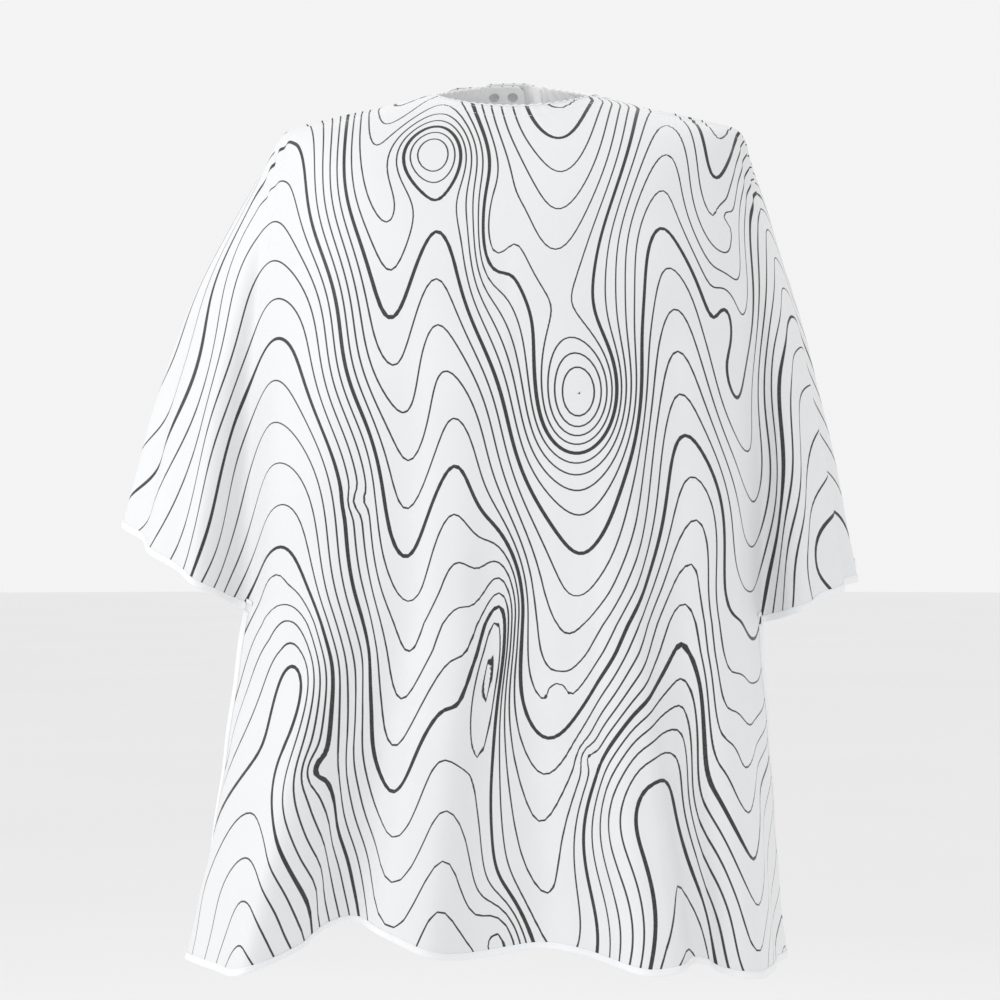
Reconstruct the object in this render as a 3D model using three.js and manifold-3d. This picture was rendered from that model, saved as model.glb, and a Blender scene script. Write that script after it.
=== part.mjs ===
// Barber cape: one draped sheet with bound edges, a cased elastic neckline and a snap closure at the nape.
// Millimetres, +Z up. The origin is the centre of the neck opening and the wearer faces -Y.
import * as THREE from "three";
import { mergeVertices } from "three/addons/utils/BufferGeometryUtils.js";
import Module from "manifold-3d";

const wasm = await Module();
wasm.setup();

// Neck opening: a tilted oval ring.
const NECK_HALF_WIDTH = 77;
const NECK_HALF_DEPTH = 62;
const NECK_FRONT_DIP = 19;
const NECK_BACK_RISE = 17;

// Draped size of the sheet. The left arm (-X) is held out further than the right arm.
const SHOULDER_HALF_WIDTH = 217;
const SHOULDER_DROP = 38;
const CHEST_HALF_WIDTH = 200;
const CHEST_DEPTH = 188;
const BACK_DEPTH = 130;
const BACK_HALF_WIDTH = 295;
const ARM_LEVEL = 500;
const BACK_DROP = 530;
const HEM_DROP = 806;
const LEFT = { reach: 367, tipDrop: 404, slitX: 247, slitDrop: 484, hemHalf: 303, armBow: 24 };
const RIGHT = { reach: 324, tipDrop: 456, slitX: 228, slitDrop: 497, hemHalf: 259, armBow: 14 };

// Cloth and trimmings.
const SHEET_THICKNESS = 1.0;
const CLEARANCE = 0.3;
const BINDING_WIDTH = 6;
const BAND_HEIGHT = 25;
const FACING_TOP = 1.5;
const FACING_WIDTH = 21;
const FACING_THICKNESS = 0.6;
const ELASTIC_TOP = 6;
const ELASTIC_WIDTH = 8;
const ELASTIC_THICKNESS = 0.7;

// Closure at the nape, measured along the neck ring from the centre back, positive towards -X.
const BACK_GAP = 58;
const SNAP_COUNT = 2;
const STUD_COUNT = 4;
const SNAP_PITCH = 17;
const TAB_RAMP = 14;
const TAB_CORNER = 8;
const TAB_MARGIN = 4;
const LAYER_THICKNESS = 0.5;
const LINING_THICKNESS = 0.4;

// Snap fastener, in the order it stacks outwards from the neck.
const POST_FLANGE_RADIUS = 4.8;
const POST_FLANGE_THICKNESS = 0.4;
const POST_BARREL_RADIUS = 1.4;
const STUD_BASE_RADIUS = 5;
const STUD_BASE_THICKNESS = 0.6;
const STUD_HEAD_RADIUS = 3.2;
const STUD_HEIGHT = 2.3;
const SOCKET_RADIUS = 5.6;
const SOCKET_HEIGHT = 2.3;
const SOCKET_PLATE = 0.6;
const CAP_RADIUS = 6.2;
const CAP_HEIGHT = 1.7;
const CAP_SHANK_RADIUS = 1.6;
const BORE_CLEARANCE = 0.35;
const ROUND_STEPS = 12;

const SLIT = 0.4;
const STATIONS = 10;

const white = (name, roughness) =>
  new THREE.MeshStandardMaterial({ name, color: 0xf4f5f6, roughness, metalness: 0 });
const printed = white("printed polyester", 0.62);
const binding = white("white binding", 0.7);
const lining = white("white lining", 0.8);
const elastic = white("knitted elastic", 0.85);
const nickel = new THREE.MeshStandardMaterial({
  name: "nickel snap", color: 0xc9cbd0, roughness: 0.25, metalness: 1,
});

const cape = new THREE.Group();
const overTab = new THREE.Group();
cape.add(overTab);

// A smooth curve through one station per tenth of the way round, given for -X and for +X.
function rail(station) {
  const points = [];
  for (let k = -STATIONS; k <= STATIONS; k += 1) {
    const [x, y, z] = station(Math.abs(k), k < 0 ? LEFT : RIGHT);
    points.push(new THREE.Vector3(k < 0 ? -x : x, y, z));
  }
  const curve = new THREE.CatmullRomCurve3(points, false, "catmullrom", 0.5);
  return (u) => curve.getPoint((THREE.MathUtils.clamp(u, -1, 1) + 1) / 2);
}

// Point on the neck ring at an angle from the front, positive towards +X.
function neckPoint(angle) {
  const c = Math.cos(angle);
  const front = Math.max(c, 0) ** 1.5;
  const back = Math.max(-c, 0) ** 1.5;
  return new THREE.Vector3(
    NECK_HALF_WIDTH * Math.sin(angle),
    -NECK_HALF_DEPTH * c,
    NECK_BACK_RISE * back - NECK_FRONT_DIP * front,
  );
}

// Angle on the ring at a distance along it from the centre back, positive towards -X.
function ringAngle(distance) {
  const steps = 200;
  let angle = Math.PI;
  for (let k = 0; k < steps; k += 1) {
    const speed = Math.hypot(NECK_HALF_WIDTH * Math.cos(angle), NECK_HALF_DEPTH * Math.sin(angle));
    angle += distance / steps / speed;
  }
  return angle;
}

const BACK_ANGLE = ringAngle(-BACK_GAP / 2);

// Where the sheet breaks from the shoulder slope into the drop, as shares of the shoulder's size.
const SHOULDER_X = [0, 0.33, 0.63, 0.86, 0.96, 1, 1, 0.96, 0.78, 0.46, 0.16];
const SHOULDER_Y = [-128, -122, -103, -70, -38, -10, 12, 34, 58, 78, 86];
const SHOULDER_Z = [2.4, 2.15, 1.65, 1.22, 1.05, 1, 1, 1, 0.95, 0.85, 0.8];
const shoulderRail = rail((k) => [
  SHOULDER_X[k] * SHOULDER_HALF_WIDTH,
  SHOULDER_Y[k],
  -SHOULDER_Z[k] * SHOULDER_DROP,
]);

// The level of the arm hems: chest, slit corner, arm lobe, then the lower edge of the back.
const armRail = rail((k, side) => {
  const lobe = side.reach - side.slitX;
  const x = [0, 0.33 * CHEST_HALF_WIDTH, 0.67 * CHEST_HALF_WIDTH, CHEST_HALF_WIDTH, side.slitX,
    side.slitX + 0.36 * lobe, side.slitX + 0.81 * lobe, side.reach,
    BACK_HALF_WIDTH, 0.56 * BACK_HALF_WIDTH, 0.14 * BACK_HALF_WIDTH][k];
  const y = [-CHEST_DEPTH, -1.01 * CHEST_DEPTH, -0.98 * CHEST_DEPTH, -0.85 * CHEST_DEPTH, -92,
    -112, -64, -4, 0.58 * BACK_DEPTH, 0.92 * BACK_DEPTH, BACK_DEPTH][k];
  const rise = side.slitDrop - side.tipDrop;
  const drop = [ARM_LEVEL, ARM_LEVEL, ARM_LEVEL, ARM_LEVEL, side.slitDrop,
    side.slitDrop - 0.27 * rise, side.slitDrop - 0.74 * rise, side.tipDrop,
    0.82 * BACK_DROP, 0.94 * BACK_DROP, BACK_DROP][k];
  return [x, y, -drop];
});

const bump = (u, centre, width) => Math.exp(-(((u - centre) / width) ** 2));

// Hem of the front panel, with its ends turned back round the wearer's sides.
function hemPoint(u) {
  const side = u < 0 ? LEFT : RIGHT;
  const s = Math.abs(u) / SLIT;
  const turn = THREE.MathUtils.smoothstep(s, 0.5, 1);
  const x = side.hemHalf * (1 - (1 - Math.min(s / 0.92, 1)) ** 1.35);
  const y = -198 + 26 * s * s + 190 * turn * turn;
  const lift = 44 * bump(u, -0.14, 0.068) + 24 * bump(u, 0.03, 0.08) + 12 * bump(u, 0.19, 0.035);
  return new THREE.Vector3(Math.sign(u) * x, y, -HEM_DROP + lift - 14 * s ** 4);
}

// Outward throw of the front panel's hanging folds.
function frontFold(u) {
  return 24 * bump(u, -0.08, 0.042) - 46 * bump(u, -0.148, 0.06) - 20 * bump(u, 0.03, 0.07)
    + 24 * bump(u, 0.14, 0.05) - 18 * bump(u, 0.19, 0.03);
}

// Length after a corner rounded over `soft` on each side.
function pastCorner(x, soft) {
  if (x <= -soft) return 0;
  if (x >= soft) return x;
  return (x + soft) ** 2 / (4 * soft);
}

// A point of the draped sheet: u runs round from one back edge (-1) over the front (0) to the other (1);
// v runs from the neck ring (0) to the level of the arm hems (1) and on to the front hem (2).
function drape(u, v) {
  const neck = neckPoint(u * BACK_ANGLE);
  const shoulder = shoulderRail(u);
  const arm = armRail(u);
  const side = u < 0 ? LEFT : RIGHT;
  const first = shoulder.clone().sub(neck);
  const second = arm.clone().sub(shoulder);
  const firstLength = first.length();
  const secondLength = second.length();
  const a = Math.abs(u);
  const soft = 13 + 30 * (1 - THREE.MathUtils.smoothstep(a, 0.1, 0.45));
  const travelled = Math.min(v, 1) * (firstLength + secondLength);
  const after = pastCorner(travelled - firstLength, soft);
  const point = neck.clone()
    .addScaledVector(first, (travelled - after) / firstLength)
    .addScaledVector(second, after / secondLength);
  const outward = new THREE.Vector2(second.x, second.y).normalize();
  const along = THREE.MathUtils.clamp(after / secondLength, 0, 1);
  const armShare = bump(a, 0.66, 0.16);
  const bow = 18 * (1 - armShare) + side.armBow * armShare;
  const push = bow * Math.sin(Math.PI * along ** 0.8);
  const pleat = 11 * Math.sin((a - 0.7) * 20 * Math.PI) * THREE.MathUtils.smoothstep(a, 0.7, 0.78);
  const throwOut = push + pleat * along * along;
  point.x += outward.x * throwOut;
  point.y += outward.y * throwOut;
  if (v > 1) {
    point.lerp(hemPoint(u), v - 1);
  }
  const fall = THREE.MathUtils.clamp((v - 0.35) / 1.65, 0, 1);
  point.y -= frontFold(u) * fall ** 1.3;
  return point;
}

// Sheet point with its outward normal.
function drapeFrame(u, v) {
  const step = 1e-3;
  const across = drape(u + step, v).sub(drape(u - step, v));
  const start = Math.max(v - step, 0);
  const down = drape(u, v + step).sub(drape(u, start));
  return { point: drape(u, v), normal: down.cross(across).normalize() };
}

// Length of the sheet from the neck ring to the arm-hem level, along one column.
function columnLength(u) {
  const neck = neckPoint(u * BACK_ANGLE);
  return shoulderRail(u).distanceTo(neck) + shoulderRail(u).distanceTo(armRail(u));
}

// Closed shell over the present cells of a grid; place(i, j) gives { point, normal, low, high }.
function shell(columns, rows, place, present = () => true) {
  const positions = [];
  const index = [];
  const top = (i, j) => 2 * (i * (rows + 1) + j);
  for (let i = 0; i <= columns; i += 1) {
    for (let j = 0; j <= rows; j += 1) {
      const { point, normal, low, high } = place(i, j);
      positions.push(...point.clone().addScaledVector(normal, high).toArray());
      positions.push(...point.clone().addScaledVector(normal, low).toArray());
    }
  }
  const exists = (i, j) => i >= 0 && j >= 0 && i < columns && j < rows && present(i, j);
  for (let i = 0; i < columns; i += 1) {
    for (let j = 0; j < rows; j += 1) {
      if (!exists(i, j)) continue;
      const a = top(i, j);
      const b = top(i + 1, j);
      const c = top(i + 1, j + 1);
      const d = top(i, j + 1);
      index.push(a, d, c, a, c, b);
      index.push(a + 1, c + 1, d + 1, a + 1, b + 1, c + 1);
      const walls = [[a, d, i - 1, j], [d, c, i, j + 1], [c, b, i + 1, j], [b, a, i, j - 1]];
      for (const [p, q, ni, nj] of walls) {
        if (!exists(ni, nj)) index.push(q, p, p + 1, q, p + 1, q + 1);
      }
    }
  }
  const geometry = new THREE.BufferGeometry();
  geometry.setAttribute("position", new THREE.Float32BufferAttribute(positions, 3));
  geometry.setIndex(index);
  return dropLoosePoints(geometry);
}

// Keeps only the points that some face uses.
function dropLoosePoints(geometry) {
  const flat = geometry.toNonIndexed();
  return mergeVertices(flat, 1e-5);
}

function addMesh(parent, name, geometry, material) {
  geometry.computeVertexNormals();
  const mesh = new THREE.Mesh(geometry, material.clone());
  mesh.name = name;
  parent.add(mesh);
  return mesh;
}

// Columns of the sheet: closest in the front panel, where the folds hang, and at the slit corners.
const BINDING_SHARE = 0.0062;
const GAP_SHARE = 0.0004;
const TACK_SHARE = 0.012;
function spread(from, to, count) {
  return Array.from({ length: count }, (_, k) => from + ((to - from) * (k + 1)) / count);
}
const backMetric = (v) => drape(1, v).distanceTo(drape(0.97, v)) / 0.03;
const backColumn = (v, inset) => 1 - inset / backMetric(v);
const halfColumns = [
  ...spread(0, SLIT - BINDING_SHARE - TACK_SHARE, 11),
  SLIT - BINDING_SHARE,
  SLIT,
  ...spread(SLIT, 0.7, 7),
  ...spread(0.7, backColumn(0.5, BINDING_WIDTH), 8),
];
const columns = [...halfColumns.map((u) => -u).reverse(), 0, ...halfColumns];
const frontColumns = columns.filter((u) => Math.abs(u) < SLIT);
const lastColumn = columns.length - 1;
// The outermost columns keep the binding's width from the back edge at every height.
function columnAt(i, v) {
  if (i > 0 && i < lastColumn) return columns[i];
  return Math.sign(columns[i]) * backColumn(v, BINDING_WIDTH);
}

// Rows of the sheet: the neck band first, then the shoulder, then the drop.
const bandRows = [0, FACING_TOP, ELASTIC_TOP, ELASTIC_TOP + ELASTIC_WIDTH, FACING_TOP + FACING_WIDTH];
const yokeRows = 9;
const panelRows = 6;
// Length of the front panel below the arm hems, short of its bound edge.
const panelLength = HEM_DROP - ARM_LEVEL - BINDING_WIDTH;
const panelEnd = 2 - BINDING_WIDTH / panelLength;
const panelRow = (k) => 1 + ((panelEnd - 1) * k) / panelRows;
function sheetRow(u, j) {
  const length = columnLength(u);
  if (j < bandRows.length) return bandRows[j] / length;
  const bandEnd = bandRows.at(-1) / length;
  const yokeEnd = 1 - BINDING_WIDTH / length;
  const k = j - bandRows.length + 1;
  if (k <= yokeRows) return bandEnd + ((yokeEnd - bandEnd) * k) / yokeRows;
  return panelRow(k - yokeRows - 1);
}

const rowCount = bandRows.length - 1 + yokeRows + 1 + panelRows;
const yokeEndRow = bandRows.length - 1 + yokeRows;
const half = SHEET_THICKNESS / 2;

addMesh(cape, "cape_sheet", shell(
  lastColumn,
  rowCount,
  (i, j) => {
    const v = sheetRow(columns[i], j);
    return { ...drapeFrame(columnAt(i, v), v), low: -half, high: half };
  },
  (i, j) => j < yokeEndRow || (Math.abs(columns[i]) < SLIT && Math.abs(columns[i + 1]) < SLIT),
), printed);

// Casing at the neckline: the elastic lies behind the sheet, the facing closes it in.
const elasticHigh = -half - CLEARANCE;
const elasticLow = elasticHigh - ELASTIC_THICKNESS;
const facingHigh = elasticLow - CLEARANCE;
const facingLow = facingHigh - FACING_THICKNESS;
function neckStrip(rows, low, high) {
  return shell(lastColumn, rows.length - 1, (i, j) => {
    const v = rows[j] / columnLength(columns[i]);
    return { ...drapeFrame(columnAt(i, v), v), low, high };
  });
}
addMesh(cape, "neck_elastic", neckStrip(bandRows.slice(2, 4), elasticLow, elasticHigh), elastic);
addMesh(cape, "neck_facing", neckStrip(bandRows.slice(1), facingLow, facingHigh), lining);

// White binding folded round each edge; it carries the sheet's edge inside its fold.
const bindingHalf = half + 0.2;
function bindingStrip(uList, from, to) {
  return shell(uList.length - 1, 1, (i, j) => ({
    ...drapeFrame(uList[i], (j ? to : from)(uList[i])), low: -bindingHalf, high: bindingHalf,
  }));
}
const yokeHemTop = (u) => 1 - (BINDING_WIDTH - CLEARANCE) / columnLength(u);
for (const [name, sign] of [["left", -1], ["right", 1]]) {
  const inner = halfColumns.filter((u) => u >= SLIT).slice(0, -1);
  const armColumns = [SLIT - BINDING_SHARE + GAP_SHARE, ...inner, backColumn(1, BINDING_WIDTH), 1]
    .map((u) => sign * u)
    .sort((a, b) => a - b);
  addMesh(cape, `arm_hem_${name}`, bindingStrip(armColumns, yokeHemTop, () => 1), binding);
  addMesh(cape, `back_edge_${name}`, shell(1, yokeEndRow, (i, j) => {
    const v = sheetRow(1, j);
    const inset = (sign > 0) === (i === 1) ? 0 : BINDING_WIDTH - CLEARANCE;
    return { ...drapeFrame(sign * backColumn(v, inset), v), low: -bindingHalf, high: bindingHalf };
  }), binding);
  const sideU = [SLIT - BINDING_SHARE + GAP_SHARE, SLIT].map((u) => sign * u).sort((a, b) => a - b);
  const sideTop = 1 + CLEARANCE / panelLength;
  addMesh(cape, `side_hem_${name}`, shell(1, panelRows, (i, j) => ({
    ...drapeFrame(sideU[i], Math.max(panelRow(j), sideTop)),
    low: -bindingHalf,
    high: bindingHalf,
  })), binding);
  // Bar-tack across the top of the side slit.
  const tackRows = [-BINDING_WIDTH - 4, -BINDING_WIDTH].map((mm) => 1 + mm / columnLength(SLIT));
  const tackU = [SLIT - BINDING_SHARE - TACK_SHARE, SLIT - BINDING_SHARE].map((u) => sign * u);
  tackU.sort((a, b) => a - b);
  addMesh(cape, `slit_tack_${name}`, shell(1, 1, (i, j) => ({
    ...drapeFrame(tackU[i], tackRows[j]),
    low: bindingHalf + CLEARANCE,
    high: bindingHalf + CLEARANCE + 0.7,
  })), binding);
}
const hemColumns = [-SLIT, ...frontColumns, SLIT];
addMesh(cape, "front_hem", bindingStrip(
  hemColumns,
  () => 2 - (BINDING_WIDTH - 2 * CLEARANCE) / panelLength,
  () => 2,
), binding);

// Straight run of the neck band at a distance from the centre back, as the sheet leaves the ring there.
// Between the two back edges it turns evenly from one side's slope to the other's.
function bandDown(angle) {
  const wrapped = angle > Math.PI ? angle - 2 * Math.PI : angle;
  const u = wrapped / BACK_ANGLE;
  if (Math.abs(u) <= 1) return shoulderRail(u).sub(neckPoint(wrapped)).normalize();
  const edge = shoulderRail(1).sub(neckPoint(BACK_ANGLE)).normalize();
  const level = Math.hypot(edge.x, edge.y);
  const swing = (Math.atan2(edge.x, edge.y) * (Math.PI - angle)) / (Math.PI - BACK_ANGLE);
  return new THREE.Vector3(level * Math.sin(swing), level * Math.cos(swing), edge.z);
}

function bandFrame(distance, width) {
  const at = (d) => {
    const angle = ringAngle(d);
    return neckPoint(angle).addScaledVector(bandDown(angle), width);
  };
  const point = at(distance);
  const across = at(distance + 0.5).sub(at(distance - 0.5)).normalize();
  const down = bandDown(ringAngle(distance));
  const normal = down.clone().cross(across).normalize();
  return { point, across, down, normal };
}

// Offsets of the closure's stack outwards from the sheet's middle.
const postLow = half + 2 * CLEARANCE;
const stripLow = postLow + POST_FLANGE_THICKNESS + CLEARANCE;
const stackHeight = 2 * LAYER_THICKNESS + LINING_THICKNESS + 2 * CLEARANCE;
const studLow = stripLow + stackHeight + CLEARANCE;
const socketLow = studLow + STUD_BASE_THICKNESS + CLEARANCE;
const tabLow = socketLow + SOCKET_HEIGHT + CLEARANCE;
const capLow = tabLow + stackHeight + CLEARANCE;
const bandMiddle = BAND_HEIGHT / 2;

// One cloth layer of a tab, with round corners at the ends named in `round`.
function tabLayer(start, end, base, layerLow, layerHigh, round) {
  const steps = 10;
  const corner = spread(0, 1, 3).map((t) => 1 - Math.cos((t * Math.PI) / 2));
  const runStart = round.start ? start + TAB_CORNER : start;
  const runEnd = round.end ? end - TAB_CORNER : end;
  const stops = [start];
  if (round.start) stops.push(...corner.map((t) => start + 0.4 + t * (TAB_CORNER - 0.4)));
  stops.push(...spread(runStart, runEnd, steps));
  if (round.end) stops.push(...corner.map((t) => end - (1 - t) * TAB_CORNER).slice(0, 2), end);
  stops.sort((a, b) => a - b);
  const inset = (d) => {
    const into = Math.min(round.start ? d - start : TAB_CORNER, round.end ? end - d : TAB_CORNER);
    const t = THREE.MathUtils.clamp(into / TAB_CORNER, 0, 1);
    return TAB_CORNER * (1 - Math.sqrt(Math.max(1 - (1 - t) ** 2, 0)));
  };
  return shell(stops.length - 1, 2, (i, j) => {
    const trim = 1 + inset(stops[i]) * 0.98;
    const width = trim + ((BAND_HEIGHT - 2 * trim) * j) / 2;
    const frame = bandFrame(stops[i], width);
    return { ...frame, low: base(stops[i]) + layerLow, high: base(stops[i]) + layerHigh };
  });
}

function toManifold(geometry) {
  const bare = geometry.clone();
  bare.deleteAttribute("normal");
  bare.deleteAttribute("uv");
  const merged = mergeVertices(bare, 1e-4);
  return new wasm.Manifold(new wasm.Mesh({
    numProp: 3,
    vertProperties: Float32Array.from(merged.attributes.position.array),
    triVerts: Uint32Array.from(merged.index.array),
  }));
}

function fromManifold(solid) {
  const mesh = solid.getMesh();
  const geometry = new THREE.BufferGeometry();
  geometry.setAttribute("position", new THREE.BufferAttribute(Float32Array.from(mesh.vertProperties), 3));
  geometry.setIndex(Array.from(mesh.triVerts));
  return geometry;
}

// Turns a shape made about +Y so that it stands along the band's outward normal at a snap.
function onBand(geometry, distance, offset) {
  const { point, across, down, normal } = bandFrame(distance, bandMiddle);
  const basis = new THREE.Matrix4().makeBasis(across, normal, across.clone().cross(normal));
  basis.setPosition(point.addScaledVector(normal, offset));
  return geometry.applyMatrix4(basis);
}

// Punches the rivet holes of the listed snaps through a cloth layer.
function punched(geometry, distances, radius) {
  let solid = toManifold(geometry);
  for (const distance of distances) {
    const punch = new THREE.CylinderGeometry(radius, radius, 40, ROUND_STEPS);
    solid = solid.subtract(toManifold(onBand(punch, distance, 0)));
  }
  return fromManifold(solid);
}

function turned(profile) {
  const points = profile.map(([r, y]) => new THREE.Vector2(r, y));
  return mergeVertices(stripAttributes(new THREE.LatheGeometry(points, ROUND_STEPS)), 1e-4);
}

function stripAttributes(geometry) {
  geometry.deleteAttribute("normal");
  geometry.deleteAttribute("uv");
  return geometry;
}

const studs = Array.from({ length: STUD_COUNT }, (_, k) => k * SNAP_PITCH);
const snaps = studs.slice(0, SNAP_COUNT);
const layers = [
  ["inner", 0, LAYER_THICKNESS, lining],
  ["interlining", LAYER_THICKNESS + CLEARANCE, LINING_THICKNESS, lining],
  ["outer", LAYER_THICKNESS + LINING_THICKNESS + 2 * CLEARANCE, LAYER_THICKNESS, printed],
];

// Under tab: sewn along the -X casing, its free end bridging the back gap, with the row of studs.
const underStart = -(STUD_BASE_RADIUS + TAB_MARGIN + 1.5);
const underEnd = studs.at(-1) + STUD_BASE_RADIUS + TAB_MARGIN;
for (const [name, low, thickness, material] of layers) {
  const cloth = tabLayer(
    underStart, underEnd, () => stripLow, low, low + thickness, { start: true, end: true },
  );
  const holes = punched(cloth, studs, POST_BARREL_RADIUS + BORE_CLEARANCE);
  addMesh(cape, `under_tab_${name}`, holes, material);
}

// Over tab: grows out of the +X back edge, lifts over the studs and carries the sockets and caps.
const rootGap = CLEARANCE + 0.3;
const overStart = -BACK_GAP / 2 + rootGap;
const overEnd = snaps.at(-1) + SOCKET_RADIUS + TAB_MARGIN;
const rest = -stackHeight / 2;
const liftOver = (d) => {
  const t = THREE.MathUtils.smoothstep(d, overStart + 1, overStart + 1 + TAB_RAMP);
  return rest + (tabLow - rest) * t;
};
for (const [name, low, thickness, material] of layers) {
  const cloth = tabLayer(overStart, overEnd, liftOver, low, low + thickness, { end: true });
  const holes = punched(cloth, snaps, CAP_SHANK_RADIUS + BORE_CLEARANCE);
  addMesh(overTab, `over_tab_${name}`, holes, material);
}

// Posts rivet the studs to the under tab; caps rivet the sockets to the over tab.
const barrelLength = studLow - postLow + 1.1;
const studBore = POST_BARREL_RADIUS + BORE_CLEARANCE;
const boreDepth = 1.1 + CLEARANCE;
studs.forEach((distance, k) => {
  const post = turned([
    [0, 0], [POST_FLANGE_RADIUS, 0], [POST_FLANGE_RADIUS, POST_FLANGE_THICKNESS],
    [POST_BARREL_RADIUS, POST_FLANGE_THICKNESS], [POST_BARREL_RADIUS, barrelLength], [0, barrelLength],
  ]);
  addMesh(cape, `snap_post_${k + 1}`, onBand(post, distance, postLow), nickel);
  const stud = turned([
    [0, boreDepth], [studBore, boreDepth], [studBore, 0], [STUD_BASE_RADIUS, 0],
    [STUD_BASE_RADIUS, STUD_BASE_THICKNESS], [STUD_HEAD_RADIUS - 0.5, STUD_BASE_THICKNESS],
    [STUD_HEAD_RADIUS - 0.5, STUD_BASE_THICKNESS + 0.4], [STUD_HEAD_RADIUS, STUD_BASE_THICKNESS + 0.8],
    [STUD_HEAD_RADIUS, STUD_HEIGHT - 0.4], [STUD_HEAD_RADIUS - 0.5, STUD_HEIGHT], [0, STUD_HEIGHT],
  ]);
  addMesh(cape, `snap_stud_${k + 1}`, onBand(stud, distance, studLow), nickel);
});

const socketBore = STUD_HEAD_RADIUS + BORE_CLEARANCE + 0.2;
const plateBore = CAP_SHANK_RADIUS + BORE_CLEARANCE;
const shankLength = stackHeight + 2 * CLEARANCE + 0.4;
snaps.forEach((distance, k) => {
  const socket = turned([
    [plateBore, SOCKET_HEIGHT - SOCKET_PLATE], [socketBore, SOCKET_HEIGHT - SOCKET_PLATE],
    [socketBore, 0], [SOCKET_RADIUS - 0.5, 0], [SOCKET_RADIUS, 0.5], [SOCKET_RADIUS, SOCKET_HEIGHT],
    [plateBore, SOCKET_HEIGHT], [plateBore, SOCKET_HEIGHT - SOCKET_PLATE],
  ]);
  addMesh(overTab, `snap_socket_${k + 1}`, onBand(socket, distance, socketLow), nickel);
  const cap = turned([
    [0, -shankLength], [CAP_SHANK_RADIUS, -shankLength], [CAP_SHANK_RADIUS, 0], [CAP_RADIUS, 0],
    [CAP_RADIUS, 0.4], [0.85 * CAP_RADIUS, 0.62 * CAP_HEIGHT], [0.5 * CAP_RADIUS, 0.93 * CAP_HEIGHT],
    [0, CAP_HEIGHT],
  ]);
  addMesh(overTab, `snap_cap_${k + 1}`, onBand(cap, distance, capLow), nickel);
});

// Blank woven label sewn inside the casing, beside the back edge on the +X side.
const labelLow = facingLow - CLEARANCE - 0.4;
const labelStart = lastColumn - 4;
addMesh(cape, "care_label", shell(2, 1, (i, j) => ({
  ...drapeFrame(columns[labelStart + i], (j ? 24 : 4) / columnLength(columns[labelStart + i])),
  low: labelLow,
  high: labelLow + 0.4,
})), lining);

export default cape;
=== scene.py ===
# Barber cape: one draped polyester sheet with bound edges, a cased elastic neckline and a snap closure
# at the nape. Lengths are in millimetres until a mesh is made; the wearer faces -Y.
import bpy
import numpy as np
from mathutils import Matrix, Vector


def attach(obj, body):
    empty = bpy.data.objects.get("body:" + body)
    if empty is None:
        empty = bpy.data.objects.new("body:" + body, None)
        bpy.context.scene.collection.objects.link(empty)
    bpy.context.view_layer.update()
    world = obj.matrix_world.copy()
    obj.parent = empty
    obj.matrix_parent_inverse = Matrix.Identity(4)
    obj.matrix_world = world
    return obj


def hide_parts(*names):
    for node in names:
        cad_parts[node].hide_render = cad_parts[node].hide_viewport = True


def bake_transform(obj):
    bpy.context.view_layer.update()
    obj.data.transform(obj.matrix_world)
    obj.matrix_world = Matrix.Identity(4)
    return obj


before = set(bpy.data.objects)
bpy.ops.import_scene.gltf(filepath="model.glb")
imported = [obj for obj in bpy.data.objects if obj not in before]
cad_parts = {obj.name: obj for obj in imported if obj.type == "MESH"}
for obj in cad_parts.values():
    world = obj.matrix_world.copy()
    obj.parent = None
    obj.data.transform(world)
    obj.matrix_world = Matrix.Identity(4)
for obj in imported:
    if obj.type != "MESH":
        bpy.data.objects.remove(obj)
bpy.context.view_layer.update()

# ---------------------------------------------------------------------------------------------------
# The room: a long lens straight in front of the wearer at chest height, a wide pale floor and soft
# white light from a bright room, with one broad lamp on the left and a weaker one on the right.
MM = 0.001
EYE = np.array([-12.35, -2650.0, -385.0])
LENS = 100.42
FLOOR_LEVEL = -1450.0
FLOOR_RADIUS = 30000.0
FLOOR_SIDES = 64
FLOOR_RINGS = (0.02, 0.1, 0.4, 1.0)
ROOM_LIGHT = 0.90
LAMP_AIM = (0, 0, -0.4)

camera = bpy.data.objects.new("camera", bpy.data.cameras.new("camera"))
camera.data.lens = LENS
camera.data.clip_end = 100
camera.location = EYE * MM
camera.rotation_euler = (np.pi / 2, 0, 0)
bpy.context.collection.objects.link(camera)
bpy.context.scene.camera = camera


def new_piece(name, points, faces):
    """A smooth-shaded mesh object at the origin from points in millimetres and an array of faces,
    each row of it the corners of one face."""
    points = np.asarray(points, float).reshape(-1, 3)
    faces = np.asarray(faces, np.int32)
    used, renumbered = np.unique(faces, return_inverse=True)
    faces = renumbered.reshape(faces.shape)
    mesh = bpy.data.meshes.new(name)
    mesh.from_pydata(points[used] * MM, [], faces.tolist())
    mesh.polygons.foreach_set("use_smooth", np.ones(len(faces), bool))
    mesh.update()
    piece = bpy.data.objects.new(name, mesh)
    bpy.context.collection.objects.link(piece)
    return piece


class Value:
    """A shader socket that takes part in Python arithmetic: each operation adds one Math node."""

    def __init__(self, recipe, socket):
        self.recipe = recipe
        self.socket = socket

    def math(self, operation, *others):
        """One Math node with this value first."""
        values = dict(enumerate((self, *others)))
        return self.recipe.node("ShaderNodeMath", {"operation": operation}, values)

    def __add__(self, other):
        return self.math("ADD", other)

    def __sub__(self, other):
        return self.math("SUBTRACT", other)

    def __mul__(self, other):
        return self.math("MULTIPLY", other)

    def __truediv__(self, other):
        return self.math("DIVIDE", other)

    def __rsub__(self, other):
        return self * -1 + other

    __radd__ = __add__
    __rmul__ = __mul__

    def clamped(self):
        """The value held between 0 and 1."""
        return self.math("MAXIMUM", 0).math("MINIMUM", 1)


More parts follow.
